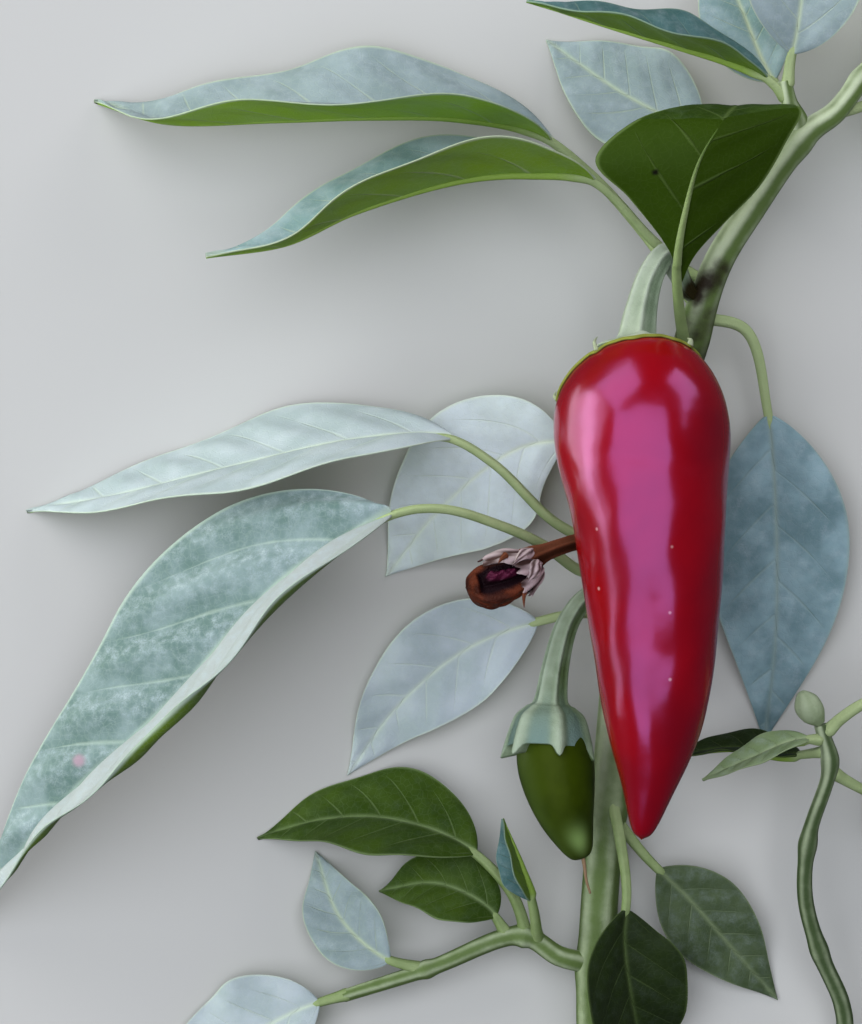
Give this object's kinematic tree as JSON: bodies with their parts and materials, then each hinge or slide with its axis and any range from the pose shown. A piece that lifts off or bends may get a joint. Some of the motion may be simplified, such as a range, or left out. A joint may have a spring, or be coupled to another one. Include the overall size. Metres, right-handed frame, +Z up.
{
  "type": "cut chilli pepper branch",
  "caption": "Cut branch of a chilli pepper plant lying on its back, with a ripe red fruit, a small green fruit, a dried flower, forked stems and folded leaves.",
  "frame": {"origin": "middle of the branch's outline, on the level surface that it lies on", "axes": "+Y from the cut end towards the tips, +X to the right seen from above, +Z up, which is the side that the branch is seen from"},
  "size_m": [0.1676, 0.202, 0.0423],
  "materials": {
    "stem": "satin green bark",
    "leaf": "matt leaf with a pale bloom",
    "ripe_skin": "glossy waxy red skin",
    "green_skin": "glossy green skin",
    "calyx": "satin ribbed green stalk",
    "dried": "dry wrinkled brown"
  },
  "bodies": {
    "root": {"main_stem": "stem", "upper_stem": "stem", "right_twig": "stem", "top_twig": "stem", "right_shoot_foot": "stem", "right_shoot": "stem", "low_twig": "stem", "leaf_upper_far": "leaf", "leaf_upper_near": "leaf", "leaf_top_left": "leaf", "leaf_behind_fork": "leaf", "leaf_top": "leaf", "leaf_top_inner": "leaf", "leaf_right_low": "leaf", "leaf_right_high": "leaf", "leaf_middle_far": "leaf", "leaf_middle_back": "leaf", "leaf_middle_near": "leaf", "leaf_low_back": "leaf", "leaf_hanging_right": "leaf", "leaf_foot_near": "leaf", "leaf_foot_right": "leaf", "leaf_low_green": "leaf", "leaf_low_left": "leaf", "leaf_low_folded": "leaf", "leaf_twig_middle": "leaf", "leaf_twig_end": "leaf", "leaf_shoot_front": "leaf", "leaf_shoot_back": "leaf", "leaf_shoot_high": "leaf", "leaf_shoot_low": "leaf", "leaf_over_fork": "leaf", "ripe_fruit": "ripe_skin", "ripe_fruit_stalk": "calyx", "green_fruit": "green_skin", "green_fruit_stalk": "calyx", "dried_pod": "dried", "dried_stalk": "dried", "shoot_bud": "calyx", "twig_bud": "calyx"}
  },
  "joints": []
}
